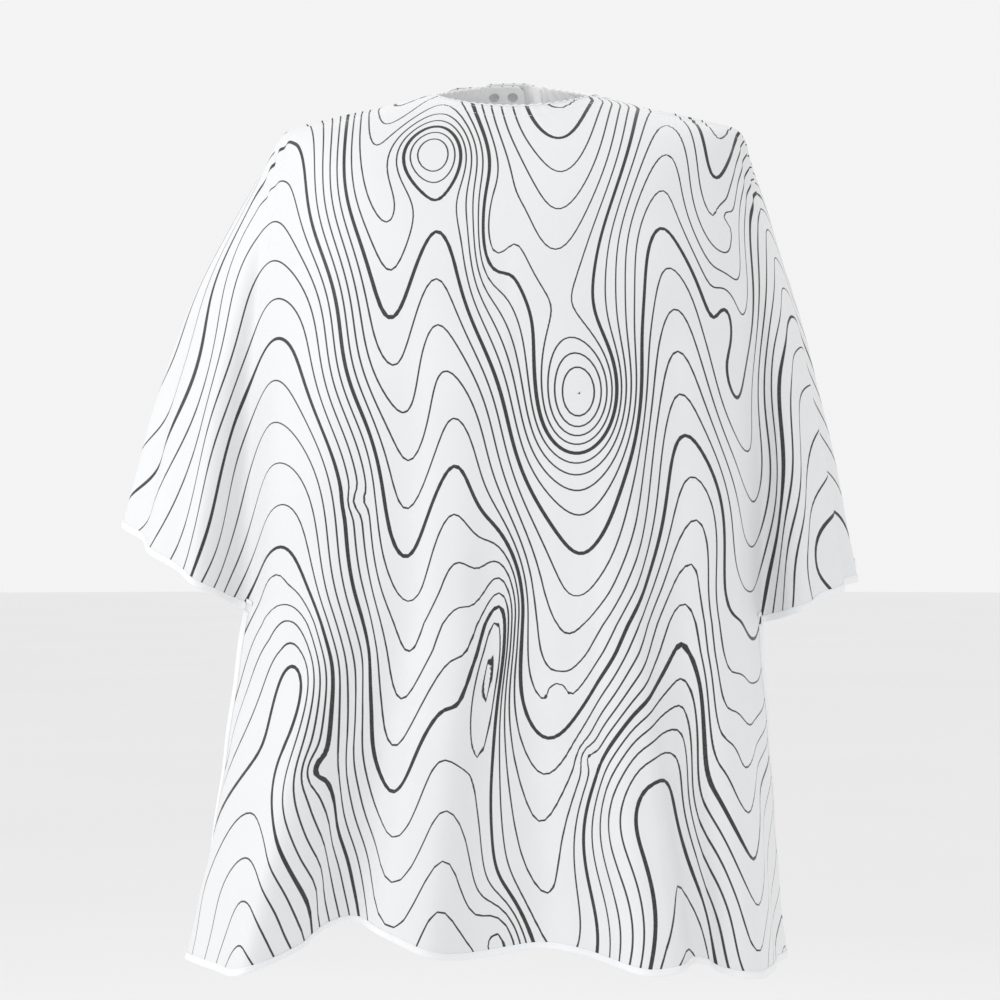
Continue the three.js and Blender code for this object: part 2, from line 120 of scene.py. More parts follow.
class Finish:
    """A material under construction: its Principled shader with constants set, and its node tree."""

    def __init__(self, name, **constants):
        self.material = bpy.data.materials.new(name)
        self.material.use_nodes = True
        self.tree = self.material.node_tree
        self.shader = self.tree.nodes["Principled BSDF"]
        for key, value in constants.items():
            self.shader.inputs[key.replace("_", " ")].default_value = value

    def node(self, kind, settings, values, output=0):
        """Adds one node: its settings first, then the values or links of its sockets."""
        node = self.tree.nodes.new(kind)
        for key, value in settings.items():
            setattr(node, key, value)
        for key, value in values.items():
            self.plug(node.inputs[key], value)
        return Value(self, node.outputs[output])

    def plug(self, socket, value):
        """Links a shader value to a socket, or sets a plain one on it."""
        if isinstance(value, Value):
            self.tree.links.new(value.socket, socket)
        else:
            socket.default_value = value

    def feed(self, key, value):
        """Plugs a value into an input of the shader."""
        self.plug(self.shader.inputs[key], value)

    def blend(self, share, first, second):
        """Colour that goes from the first to the second as the share goes from 0 to 1."""
        return self.node("ShaderNodeMix", {"data_type": "RGBA"}, {0: share, 6: first, 7: second}, 2)

    def place(self):
        return self.node("ShaderNodeTexCoord", {}, {}, "Object")

    def thread_place(self):
        """Position on the flat cloth, in metres along and across its threads."""
        return self.node("ShaderNodeUVMap", {"uv_map": "cloth"}, {})

    def noise(self, place, scale, detail=2.0):
        values = {"Vector": place, "Scale": scale, "Detail": detail}
        return self.node("ShaderNodeTexNoise", {}, values)

    def parts(self, place, axis):
        return self.node("ShaderNodeSeparateXYZ", {}, {"Vector": place}, axis)

    def bump(self, height, strength, distance):
        values = {"Height": height, "Strength": strength, "Distance": distance}
        self.feed("Normal", self.node("ShaderNodeBump", {}, values))


def weave(finish, place, thread):
    """Plain weave: half the product of a sine along the warp and one along the weft, plus a half."""
    turns = 2 * np.pi / thread
    warp = (finish.parts(place, "X") * turns).math("SINE")
    weft = (finish.parts(place, "Y") * turns).math("SINE")
    return (warp * weft) * 0.5 + 0.5


floor_angles = np.linspace(0, 2 * np.pi, FLOOR_SIDES, endpoint=False)
floor_rings = np.array(FLOOR_RINGS)[:, None] * FLOOR_RADIUS
floor_points = np.stack([
    floor_rings * np.cos(floor_angles),
    floor_rings * np.sin(floor_angles),
    np.full((len(FLOOR_RINGS), FLOOR_SIDES), FLOOR_LEVEL),
], axis=-1)
side = np.arange(FLOOR_SIDES)
side_next = (side + 1) % FLOOR_SIDES
floor_faces = [
    np.stack([k + side, k + FLOOR_SIDES + side, k + FLOOR_SIDES + side_next, k + side_next], axis=-1)
    for k in range(0, (len(FLOOR_RINGS) - 1) * FLOOR_SIDES, FLOOR_SIDES)
]
floor = new_piece("floor", floor_points, np.concatenate(floor_faces))
hub = new_piece("floor_middle", floor_points[0], side[None, :])
floor_paint = Finish("floor_paint", Roughness=0.9)
floor_paint.feed("Base Color", floor_paint.blend(
    floor_paint.noise(floor_paint.place(), 0.7), (0.88, 0.88, 0.88, 1), (0.91, 0.91, 0.91, 1)))
for ground in (floor, hub):
    ground.data.materials.append(floor_paint.material)

room = bpy.data.worlds.new("room")
room.use_nodes = True
room.node_tree.nodes["Background"].inputs["Color"].default_value = (1, 1, 1, 1)
room.node_tree.nodes["Background"].inputs["Strength"].default_value = ROOM_LIGHT
bpy.context.scene.world = room
bpy.context.scene.view_settings.view_transform = "Standard"

# Lamp: name, place and size in metres, and power in watts.
LAMPS = [
    ("lamp_left", (-3.0, -1.4, 1.5), 1.3, 40),
    ("lamp_right", (2.6, -1.6, 0.4), 2.0, 3),
    ("lamp_behind", (0.4, 2.6, 1.4), 2.4, 8),
]
for lamp_name, lamp_place, lamp_size, lamp_power in LAMPS:
    lamp = bpy.data.objects.new(lamp_name, bpy.data.lights.new(lamp_name, "AREA"))
    lamp.data.size = lamp_size
    lamp.data.energy = lamp_power
    lamp.location = lamp_place
    aim = Vector(LAMP_AIM) - lamp.location
    lamp.rotation_euler = aim.to_track_quat("-Z", "Y").to_euler()
    bpy.context.collection.objects.link(lamp)

# ---------------------------------------------------------------------------------------------------
# The sheet: one piece of smooth water-repellent polyester, cut 1.20 m across the arms and 1.40 m long
# with rounded underarms and a neck hole. It hangs from the neckline and breaks over the shoulders, and
# the front panel is free of the arms from the side slits down.
NECK_HALF_WIDTH = 77
NECK_HALF_DEPTH = 62
NECK_FRONT_DIP = 19
NECK_BACK_RISE = 17
SHOULDER_HALF_WIDTH = 217
SHOULDER_DROP = 38
CHEST_HALF_WIDTH = 200
CHEST_DEPTH = 188
BACK_DEPTH = 130
BACK_HALF_WIDTH = 295
ARM_LEVEL = 500
BACK_DROP = 530
HEM_DROP = 806
BACK_GAP = 58
SLIT = 0.4
LEFT = {"reach": 367, "tip": 404, "slit_x": 247, "slit_drop": 484, "hem_half": 303, "arm_bow": 24}
RIGHT = {"reach": 324, "tip": 456, "slit_x": 228, "slit_drop": 497, "hem_half": 259, "arm_bow": 14}


def smoothstep(x, start, end):
    """0 before start, 1 after end, and 3t^2 - 2t^3 between them."""
    t = np.clip((x - start) / (end - start), 0, 1)
    return t * t * (3 - 2 * t)


def bump(x, centre, width):
    """A smooth hill of height 1: exp(-((x - centre) / width)^2)."""
    return np.exp(-(((x - centre) / width) ** 2))


def unit(vectors):
    """Each vector divided by its length."""
    return vectors / np.linalg.norm(vectors, axis=-1, keepdims=True)


def neck_point(angle):
    """Tilted oval: (width sin a, -depth cos a, rise (-cos a)^1.5 behind or -dip (cos a)^1.5 in front)."""
    c = np.cos(angle)
    height = NECK_BACK_RISE * np.maximum(-c, 0) ** 1.5 - NECK_FRONT_DIP * np.maximum(c, 0) ** 1.5
    return np.stack([NECK_HALF_WIDTH * np.sin(angle), -NECK_HALF_DEPTH * c, height], axis=-1)


# Length along the neck ring against angle, from which an angle is found for a distance.
ring_angles = np.linspace(np.pi / 2, 3 * np.pi / 2, 4001)
ring_speed = np.hypot(NECK_HALF_WIDTH * np.cos(ring_angles), NECK_HALF_DEPTH * np.sin(ring_angles))
ring_lengths = np.cumsum(ring_speed) * (ring_angles[1] - ring_angles[0])
ring_lengths -= ring_lengths[2000]


def ring_angle(distance):
    """Angle on the neck ring at a distance along it from the centre back, positive towards -X."""
    return np.interp(distance, ring_lengths, ring_angles)


BACK_ANGLE = ring_angle(-BACK_GAP / 2)


def rail(left_stations, right_stations):
    """Catmull-Rom curve through 21 stations, mirrored on the -X side, for u from -1 to 1."""
    mirrored = left_stations[:0:-1] * np.array([-1, 1, 1])
    stations = np.vstack([mirrored, right_stations])
    ends = np.vstack([2 * stations[:1] - stations[1:2], stations, 2 * stations[-1:] - stations[-2:-1]])

    def at(u):
        t = (np.clip(u, -1, 1) + 1) / 2 * (len(stations) - 1)
        k = np.minimum(t.astype(int), len(stations) - 2)
        f = (t - k)[..., None]
        before, start, end, after = ends[k], ends[k + 1], ends[k + 2], ends[k + 3]
        leave = (end - before) / 2
        arrive = (after - start) / 2
        square = 3 * (end - start) - 2 * leave - arrive
        cube = 2 * (start - end) + leave + arrive
        return start + leave * f + square * f ** 2 + cube * f ** 3

    return at


SHOULDER_X = np.array([0, 0.33, 0.63, 0.86, 0.96, 1, 1, 0.96, 0.78, 0.46, 0.16])
SHOULDER_Y = np.array([-128, -122, -103, -70, -38, -10, 12, 34, 58, 78, 86])
SHOULDER_Z = np.array([2.4, 2.15, 1.65, 1.22, 1.05, 1, 1, 1, 0.95, 0.85, 0.8])
shoulder_stations = np.stack(
    [SHOULDER_X * SHOULDER_HALF_WIDTH, SHOULDER_Y, -SHOULDER_Z * SHOULDER_DROP], axis=-1)
shoulder_rail = rail(shoulder_stations, shoulder_stations)


def arm_stations(side):
    """Chest, slit corner, arm lobe and lower edge of the back, from the front round to the back."""
    lobe = side["reach"] - side["slit_x"]
    x = [0, 0.33 * CHEST_HALF_WIDTH, 0.67 * CHEST_HALF_WIDTH, CHEST_HALF_WIDTH, side["slit_x"],
         side["slit_x"] + 0.36 * lobe, side["slit_x"] + 0.81 * lobe, side["reach"],
         BACK_HALF_WIDTH, 0.56 * BACK_HALF_WIDTH, 0.14 * BACK_HALF_WIDTH]
    y = [-CHEST_DEPTH, -1.01 * CHEST_DEPTH, -0.98 * CHEST_DEPTH, -0.85 * CHEST_DEPTH, -92,
         -112, -64, -4, 0.58 * BACK_DEPTH, 0.92 * BACK_DEPTH, BACK_DEPTH]
    rise = side["slit_drop"] - side["tip"]
    drop = [ARM_LEVEL, ARM_LEVEL, ARM_LEVEL, ARM_LEVEL, side["slit_drop"],
            side["slit_drop"] - 0.27 * rise, side["slit_drop"] - 0.74 * rise, side["tip"],
            0.82 * BACK_DROP, 0.94 * BACK_DROP, BACK_DROP]
    return np.stack([x, y, -np.array(drop)], axis=-1)


arm_rail = rail(arm_stations(LEFT), arm_stations(RIGHT))


def of_side(u, key):
    """A measure of the -X side where u is negative, and of the +X side elsewhere."""
    return np.where(u < 0, LEFT[key], RIGHT[key])


def hills(u, table):
    """Sum of smooth hills, each given by its place round the sheet, its half width and its height."""
    return sum(height * bump(u, centre, width) for centre, width, height in table)


# Where the folds draw the front hem up, and how far the main folds throw the panel outwards.
HEM_LIFTS = [(-0.14, 0.068, 44), (0.03, 0.08, 24), (0.19, 0.035, 12)]
MAIN_FOLDS = [(-0.08, 0.042, 24), (-0.148, 0.06, -46), (0.03, 0.07, -20), (0.14, 0.05, 24), (0.19, 0.03, -18)]
HEM_DEPTH = 198
HEM_TURN_BACK = 190


def hem_point(u):
    """Front hem: it spreads as 1 - (1 - s)^1.35 of its half width, turns back at the sides, and lifts
    in three hills where folds draw it up."""
    s = np.abs(u) / SLIT
    turn = smoothstep(s, 0.5, 1)
    x = of_side(u, "hem_half") * (1 - (1 - np.minimum(s / 0.92, 1)) ** 1.35)
    y = -HEM_DEPTH + 26 * s * s + HEM_TURN_BACK * turn * turn
    lift = hills(u, HEM_LIFTS)
    return np.stack([np.sign(u) * x, y, -HEM_DROP + lift - 14 * s ** 4], axis=-1)


EDGE_SOFTNESS = 13
CHEST_SOFTNESS = 30
DROP_BOW = 18
PLEAT_THROW = 11
PLEAT_PITCH = 0.1


def column_length(u):
    """Length of the sheet from the neck ring to the arm-hem level along one column."""
    first = shoulder_rail(u) - neck_point(u * BACK_ANGLE)
    second = arm_rail(u) - shoulder_rail(u)
    return np.linalg.norm(first, axis=-1) + np.linalg.norm(second, axis=-1)


def hang(u, v):
    """The sheet without its small folds. u runs round from one back edge (-1) over the front (0) to the
    other (1). v runs from the neck ring (0) along the shoulder slope, round its edge and down to the
    level of the arm hems (1), and on along straight lines to the front hem (2)."""
    neck = neck_point(u * BACK_ANGLE)
    shoulder = shoulder_rail(u)
    first = shoulder - neck
    second = arm_rail(u) - shoulder
    first_length = np.linalg.norm(first, axis=-1)
    second_length = np.linalg.norm(second, axis=-1)
    a = np.abs(u)
    soft = EDGE_SOFTNESS + CHEST_SOFTNESS * (1 - smoothstep(a, 0.1, 0.45))
    travelled = np.minimum(v, 1) * (first_length + second_length)
    x = np.maximum(travelled - first_length, -soft)
    after = np.where(x >= soft, x, (x + soft) ** 2 / (4 * soft))
    point = neck + first * ((travelled - after) / first_length)[..., None]
    point = point + second * (after / second_length)[..., None]
    outward = unit(second[..., :2])
    along = np.clip(after / second_length, 0, 1)
    arm_share = bump(a, 0.66, 0.16)
    bow = DROP_BOW * (1 - arm_share) + of_side(u, "arm_bow") * arm_share
    pleat = PLEAT_THROW * np.sin((a - 0.7) * 2 * np.pi / PLEAT_PITCH) * smoothstep(a, 0.7, 0.78)
    throw = bow * np.sin(np.pi * along ** 0.8) + pleat * along * along
    point[..., :2] += outward * throw[..., None]
    lower = np.maximum(v - 1, 0)[..., None]
    point = point * (1 - lower) + hem_point(u) * lower
    point[..., 1] -= hills(u, MAIN_FOLDS) * np.clip((v - 0.35) / 1.65, 0, 1) ** 1.3
    return point


# Small hanging folds of the front panel: (place round the sheet, half width, throw in mm, lean).
PANEL_FOLDS = [
    (-0.355, 0.020, 7, 0.010),
    (-0.300, 0.022, -6, 0.006),
    (-0.243, 0.020, 8, 0.0),
    (-0.196, 0.014, -8, 0.0),
    (-0.112, 0.016, 9, 0.004),
    (-0.040, 0.022, -6, 0.0),
    (0.055, 0.022, 7, 0.0),
    (0.108, 0.013, -6, 0.0),
    (0.166, 0.012, 9, -0.004),
    (0.222, 0.012, -8, -0.004),
    (0.268, 0.020, 7, -0.006),
    (0.335, 0.020, -6, -0.01),
]
SLEEVE_RIPPLE = 3.6
BACK_RIPPLE = 2.4
SHOULDER_CREASE = 2.2
CHEST_DRAG = 1.9
GATHER_PITCH = 8.2
GATHER_DEPTH = 0.42
SLOW_RIPPLE = 0.9


def relief(u, v):
    """Height of the small folds over the hanging sheet: leaning hills down the front panel, ripples on
    the sleeves and the back, tension creases from the neck over the shoulders, drag lines on the chest,
    the fine gathers of the elastic neckline, and a slow unevenness all over."""
    a = np.abs(u)
    height = np.zeros(np.broadcast(u, v).shape)
    fall = np.clip((v - 0.4) / 1.6, 0, 1) ** 1.2 * (1 - smoothstep(a, 0.37, 0.41))
    for centre, width, throw, lean in PANEL_FOLDS:
        height = height + throw * bump(u, centre + lean * (2 - v), width) * fall
    phase = np.where(u < 0, 1.3, 0.2)
    sleeve = bump(a, 0.6, 0.12) * smoothstep(v, 0.35, 0.95)
    height += SLEEVE_RIPPLE * np.sin(84 * a + phase + 2.6 * v) * sleeve
    height += BACK_RIPPLE * np.sin(105 * a + phase) * smoothstep(a, 0.68, 0.8) * smoothstep(v, 0.3, 1)
    crease = smoothstep(v, 0.07, 0.14) * (1 - smoothstep(v, 0.24, 0.44))
    height += SHOULDER_CREASE * np.sin(112 * a + phase + 3 * v) * bump(a, 0.47, 0.085) * crease
    chest = bump(v, 0.47, 0.15) * (1 - smoothstep(a, 0.28, 0.4))
    height += CHEST_DRAG * np.sin(23 * v - 9 * a + phase) * chest
    turns = 2 * np.pi * BACK_ANGLE * NECK_HALF_WIDTH / GATHER_PITCH
    gather = np.sin(turns * u + 0.9 * np.sin(19 * u)) * np.exp(-v / 0.035)
    height += (GATHER_DEPTH + 0.2 * np.sin(7 * u + 1)) * gather
    slow = np.sin(31 * u + 9 * v + 1) * np.sin(17 * v - 12 * u)
    return height + SLOW_RIPPLE * slow * smoothstep(v, 0.1, 0.35)


def worn(u, v):
    """The sheet as worn: the hanging sheet, eased where the front panel leaves the chest, with the small
    folds thrown out level on the drop and upwards on the shoulders."""
    ease = 0.09 * bump(v, 1, 0.12) * (1 - smoothstep(np.abs(u), 0.3, 0.37))
    point = hang(u, v) * 0.5 + (hang(u, v - ease) + hang(u, v + ease)) * 0.25
    drop = smoothstep(v, 0.12, 0.45)
    outward = np.stack([point[..., 0] * 0.8, point[..., 1], 0 * point[..., 0]], axis=-1)
    level = unit(outward) * drop[..., None]
    level[..., 2] += 1 - drop
    return point + unit(level) * relief(u, v)[..., None]


def sheet_frame(u, v):
    """Point of the worn sheet and its outward normal, the cross product of down and across."""
    step = 1e-3
    u, v = np.broadcast_arrays(np.asarray(u, float), np.asarray(v, float))
    top = np.where(np.abs(u) > SLIT, 1, 2 + step)
    across = worn(u + step, v) - worn(u - step, v)
    down = worn(u, np.minimum(v + step, top)) - worn(u, np.maximum(v - step, 0))
    return worn(u, v), unit(np.cross(down, across))


HALF_COLUMNS = np.concatenate([np.linspace(0, SLIT, 61), np.linspace(SLIT, 1, 91)[1:]])
columns = np.concatenate([-HALF_COLUMNS[:0:-1], HALF_COLUMNS])
BAND_ROWS = np.linspace(0, 24, 9)
YOKE_ROWS = 94
PANEL_ROWS = 64
lengths = column_length(columns)[:, None]
band_part = BAND_ROWS[None, :] / lengths
yoke_share = np.arange(1, YOKE_ROWS + 1)[None, :] / YOKE_ROWS
yoke_part = band_part[:, -1:] + (1 - band_part[:, -1:]) * yoke_share
panel_part = np.broadcast_to(1 + np.arange(1, PANEL_ROWS + 1) / PANEL_ROWS, (len(columns), PANEL_ROWS))
sheet_v = np.concatenate([band_part, yoke_part, panel_part], axis=1)
sheet_u = np.broadcast_to(columns[:, None], sheet_v.shape)
sheet_points = worn(sheet_u, sheet_v)


def grid_faces(count_across, count_down, present=None):
    """Quads of a grid of points, wound so that down crossed with across points outwards."""
    index = np.arange(count_across * count_down).reshape(count_across, count_down)
    quads = np.stack([index[:-1, :-1], index[:-1, 1:], index[1:, 1:], index[1:, :-1]], axis=-1)
    return quads.reshape(-1, 4) if present is None else quads[present]


last_yoke_row = len(BAND_ROWS) - 1 + YOKE_ROWS
cell_centre = np.abs(columns[1:] + columns[:-1])[:, None] / 2
cell_row = np.arange(sheet_v.shape[1] - 1)[None, :]
present = (cell_row < last_yoke_row) | (cell_centre < SLIT)
sheet_faces = grid_faces(*sheet_v.shape, present)
cape_sheet = new_piece("cape_sheet_cloth", sheet_points, sheet_faces)
sheet_used = np.unique(sheet_faces)

# Flat place of each point of the cloth, from lengths along the rows and down the columns.
across_steps = np.linalg.norm(np.diff(sheet_points, axis=0), axis=-1)
down_steps = np.linalg.norm(np.diff(sheet_points, axis=1), axis=-1)
across_length = np.concatenate([np.zeros((1, sheet_v.shape[1])), np.cumsum(across_steps, axis=0)])
across_length -= across_length[len(columns) // 2]
down_length = np.concatenate([np.zeros((len(columns), 1)), np.cumsum(down_steps, axis=1)], axis=1)
sheet_flat = np.stack([across_length, -down_length], axis=-1) * MM


def lay_threads(piece, flat):
    """Gives the piece the UV map that its weave follows: the flat place of each vertex, in metres."""
    corners = np.empty(len(piece.data.loops), np.int32)
    piece.data.loops.foreach_get("vertex_index", corners)
    layer = piece.data.uv_layers.new(name="cloth")
    layer.data.foreach_set("uv", flat.reshape(-1, 2)[corners].astype(np.float32).ravel())


lay_threads(cape_sheet, sheet_flat.reshape(-1, 2)[sheet_used])

# The print is a wood-grain drawing in level lines, every fifth one bold, as a sawn board shows it. Tall
# arches and valleys stand side by side, and knots lift or sink the grain round them into closed rings.
GRAIN_RISE = 40
SWAY = 9
SWAY_LENGTH = 95
RIPPLE = 3.2
RIPPLE_LENGTH = 29
RIPPLE_SLANT = 60
LEAN = 0.25
LEAN_ROUNDING = 40
FRONT_ENDS = -40
BACK_STARTS = 60
# Arch: place across, half width, height (a valley's is negative) and lean.
FRONT_ARCHES = [
    (-205, 80, 345, -0.04),
    (-122, 42, -120, 0.04),
    (-62, 36, 70, 0),
    (48, 74, -270, 0),
    (136, 40, 95, 0.02),
    (196, 34, -150, 0.03),
    (262, 58, 200, 0.08),
]
BACK_ARCHES = [(-190, 80, 250, 0), (-60, 66, -180, 0), (85, 72, 210, 0), (215, 66, -190, 0)]
# Knot: place across and down, half width and half length, and the levels that it lifts the grain by.
FRONT_KNOTS = [
    (-62, 85, 38, 40, 5),
    (-12, 175, 17, 52, -2.6),
    (56, 330, 44, 54, -6.5),
    (-20, 560, 17, 90, 5.4),
    (178, 590, 18, 125, -2.6),
    (196, 240, 13, 44, 1.9),
    (98, 680, 50, 85, 5),
    (0, 810, 20, 36, 3),
    (-195, 580, 30, 66, 3.4),
    (285, 510, 30, 44, -2.6),
]
BACK_KNOTS = [(-150, 330, 32, 48, 4.5), (130, 250, 28, 62, 4), (215, 420, 26, 40, 3.4)]
# Snag: a knot a few millimetres across that only puts a jag in the lines beside it.
FRONT_SNAGS = [
    (-150, 420, 9, 10, -0.9),
    (-222, 490, 8, 12, 0.7),
    (40, 590, 8, 10, 1),
    (66, 650, 8, 11, 1.1),
    (206, 140, 7, 10, 0.9),
    (-168, 660, 9, 16, -1.2),
]


def board_level(across, down, arches, knots):
    """Level of the grain on one board: the way down plus each arch's height times its hill, over the
    rise, plus each knot's lift times its hill. A slow sway and a finer ripple shift it sideways."""
    ripple = RIPPLE * np.sin(down / RIPPLE_LENGTH + across / RIPPLE_SLANT)
    swayed = across + SWAY * np.sin(down / SWAY_LENGTH) + ripple
    crest = down + sum(height * bump(swayed, middle + lean * down, half_wide)
                       for middle, half_wide, height, lean in arches)
    return crest / GRAIN_RISE + sum(
        lift * bump(np.hypot((swayed - middle) / half_wide, (down - depth) / half_long), 0, 1)
        for middle, depth, half_wide, half_long, lift in knots)


def grain_level(points):
    """Level at points of the cloth. The way down also grows with the distance in front of the neck or
    behind it, and the front's board runs into the back's over the shoulders."""
    across, out, up = points.T
    down = LEAN * (np.hypot(out, LEAN_ROUNDING) - LEAN_ROUNDING) - up
    behind = smoothstep(out, FRONT_ENDS, BACK_STARTS)
    front = board_level(across, down, FRONT_ARCHES, FRONT_KNOTS + FRONT_SNAGS)
    return front * (1 - behind) + board_level(across, down, BACK_ARCHES, BACK_KNOTS) * behind


plain_points = hang(sheet_u, sheet_v)
sheet_level = grain_level(plain_points.reshape(-1, 3)).reshape(sheet_v.shape)


def slope_per_mm(level, points):
    """Size of the level's slope along the cloth, from its change along rows and down columns."""
    level_across, level_down = np.gradient(level)
    across, down = np.gradient(points, axis=(0, 1))
    e = (across * across).sum(axis=-1)
    f = (across * down).sum(axis=-1)
    g = (down * down).sum(axis=-1)
    top = g * level_across ** 2 - 2 * f * level_across * level_down + e * level_down ** 2
    return np.sqrt(np.maximum(top / np.maximum(e * g - f * f, 1e-6), 0))


def keep_values(piece, name, values):
    """Keeps one number for each vertex of a piece, for its material to read."""
    piece.data.attributes.new(name, "FLOAT", "POINT").data.foreach_set("value", values.astype(np.float32))


keep_values(cape_sheet, "grain_level", sheet_level.ravel()[sheet_used])
keep_values(cape_sheet, "grain_slope", slope_per_mm(sheet_level, plain_points).ravel()[sheet_used])

CLOTH_THICKNESS = 0.5
THREAD = 0.00045
CLOTH_WHITE = (0.82, 0.825, 0.835, 1)
CLOTH_SHADE = (0.785, 0.79, 0.80, 1)
INK = (0.012, 0.012, 0.014, 1)
THIN_HALF_WIDTH = 0.75
BOLD_HALF_WIDTH = 1.6
INK_EDGE = 0.45
LEAST_SLOPE = 0.008
BOLD_EVERY = 5


def polyester(name):
    """White filament polyester: faint unevenness of tone, a soft sheen, a fine weave and small creases."""
    cloth = Finish(name, Roughness=0.5, Sheen_Weight=0.15, Sheen_Roughness=0.4, IOR=1.48)
    place = cloth.place()
    tone = cloth.blend(cloth.noise(place, 9, 3), CLOTH_SHADE, CLOTH_WHITE)
    threads = weave(cloth, cloth.thread_place(), THREAD)
    creases = cloth.noise(place, 26, 4)
    cloth.bump(threads * 0.04 + creases, 0.35, 0.0016)
    cloth.feed("Roughness", cloth.noise(place, 40, 2) * 0.12 + 0.44)
    return cloth, tone


printed, printed_tone = polyester("printed_polyester")
line_level = printed.node("ShaderNodeAttribute", {"attribute_name": "grain_level"}, {}, "Fac")
line_slope = printed.node("ShaderNodeAttribute", {"attribute_name": "grain_slope"}, {}, "Fac")
to_line = line_level.math("PINGPONG", 0.5)
to_fifth = line_level.math("PINGPONG", BOLD_EVERY / 2)
is_bold = to_fifth.math("LESS_THAN", 0.5)
swell = printed.noise(printed.place(), 5.5, 1) * 0.9 + 0.55
half_width = (is_bold * (BOLD_HALF_WIDTH - THIN_HALF_WIDTH) + THIN_HALF_WIDTH) * swell
from_line = to_line / line_slope.math("MAXIMUM", LEAST_SLOPE)
ink = ((half_width - from_line) / INK_EDGE + 0.5).clamped()
worn_ink = ink * (printed.noise(printed.place(), 900, 2) * 0.2 + 0.88).clamped()
printed.feed("Base Color", printed.blend(worn_ink, printed_tone, INK))
wrong_side, wrong_tone = polyester("polyester_wrong_side")
wrong_side.feed("Base Color", wrong_tone)

cape_sheet.data.materials.append(printed.material)
cape_sheet.data.materials.append(wrong_side.material)
thickness = cape_sheet.modifiers.new("thickness", "SOLIDIFY")
thickness.thickness = CLOTH_THICKNESS * MM
thickness.offset = 0
thickness.material_offset = 1
thickness.material_offset_rim = 1
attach(cape_sheet, "cape")
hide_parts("cape_sheet")

# ---------------------------------------------------------------------------------------------------
# Bound edges: a white twill tape folded round each raw edge of the sheet and stitched through with one
# row of white thread, seen on both faces. It is on the front hem, the side slits, the round arm lobes
# and the back edges.
TAPE_WIDTH = 6.0
TAPE_HALF = 0.95
STITCH_LENGTH = 2.7
STITCH_PITCH = 3.5
STITCH_RADIUS = 0.22
STITCH_INSET = 4.6

tape = Finish("white_binding", Roughness=0.62, Sheen_Weight=0.2, Sheen_Roughness=0.5)
tape_place = tape.thread_place()
twill = ((tape.parts(tape_place, "X") + tape.parts(tape_place, "Y")) * (2 * np.pi / 0.0009)).math("SINE")
tape.feed("Base Color", tape.blend(
    tape.noise(tape.place(), 30, 3), (0.88, 0.885, 0.90, 1), (0.93, 0.935, 0.945, 1)))
tape.bump(twill * 0.5 + tape.noise(tape.place(), 120, 2), 0.3, 0.0003)

thread = Finish("sewing_thread", Roughness=0.45, Sheen_Weight=0.3)
thread.feed("Base Color", thread.blend(
    thread.noise(thread.place(), 200, 2), (0.86, 0.86, 0.87, 1), (0.93, 0.93, 0.94, 1)))
thread.bump(thread.noise(thread.place(), 3000, 1), 0.4, 0.0001)

# Section of the folded tape: inset from the fold, and height over the sheet's middle.
TAPE_SECTION = np.array([
    (TAPE_WIDTH, 0.3), (TAPE_WIDTH + 0.1, 0.6), (TAPE_WIDTH - 0.4, TAPE_HALF - 0.1), (4.6, TAPE_HALF - 0.18),
    (2.5, TAPE_HALF), (0.6, TAPE_HALF), (-0.2, 0.75), (-0.6, 0.3), (-0.6, -0.3), (-0.2, -0.75),
    (0.6, -TAPE_HALF), (2.5, -TAPE_HALF), (4.6, -TAPE_HALF + 0.18), (TAPE_WIDTH - 0.4, -TAPE_HALF + 0.1),
    (TAPE_WIDTH + 0.1, -0.6), (TAPE_WIDTH, -0.3), (0.4, -0.29), (0.4, 0.29),
])


def edge_points(u, v, inward_u, inward_v, section):
    """A section carried along an edge: each of its points lies its inset along the cloth and its height
    along the normal. Past the fold the cloth's line is carried straight on."""
    inset = section[:, 0]
    reach = np.abs(inset)
    uu = u[:, None] + inward_u[:, None] * reach
    vv = v[:, None] + inward_v[:, None] * reach
    point, normal = sheet_frame(uu, vv)
    edge = worn(u, v)[:, None, :]
    point = np.where(inset[None, :, None] < 0, 2 * edge - point, point)
    return point + normal * section[None, :, 1:2]


def tube_faces(rings, around, flip):
    """Quads of the wall of a tube of rings, open at both ends, turned inside out where flip says so."""
    i = np.arange(rings - 1)[:, None] * around
    j = np.arange(around)[None, :]
    k = (j + 1) % around
    sides = np.stack([i + j, i + k, i + around + k, i + around + j], axis=-1).reshape(-1, 4)
    return sides[:, ::-1] if flip else sides


def closed_strip(name, sections, flip=False):
    """A tape from its sections, one ring of points each, closed at both ends by a point in the middle."""
    rings, around = sections.shape[:2]
    sides = tube_faces(rings, around, flip)
    first = rings * around
    points = np.vstack([sections.reshape(-1, 3), sections[0].mean(axis=0), sections[-1].mean(axis=0)])
    j = np.arange(around)
    k = (j + 1) % around
    start = np.stack([k, j, np.full(around, first)], axis=-1)
    end = np.stack([j, k, np.full(around, first + 1)], axis=-1)
    end[:, :2] += (rings - 1) * around
    caps = np.vstack([start, end])
    caps = caps[:, ::-1] if flip else caps
    triangles = np.vstack([sides[:, [0, 1, 2]], sides[:, [0, 2, 3]], caps])
    return new_piece(name, points, triangles)


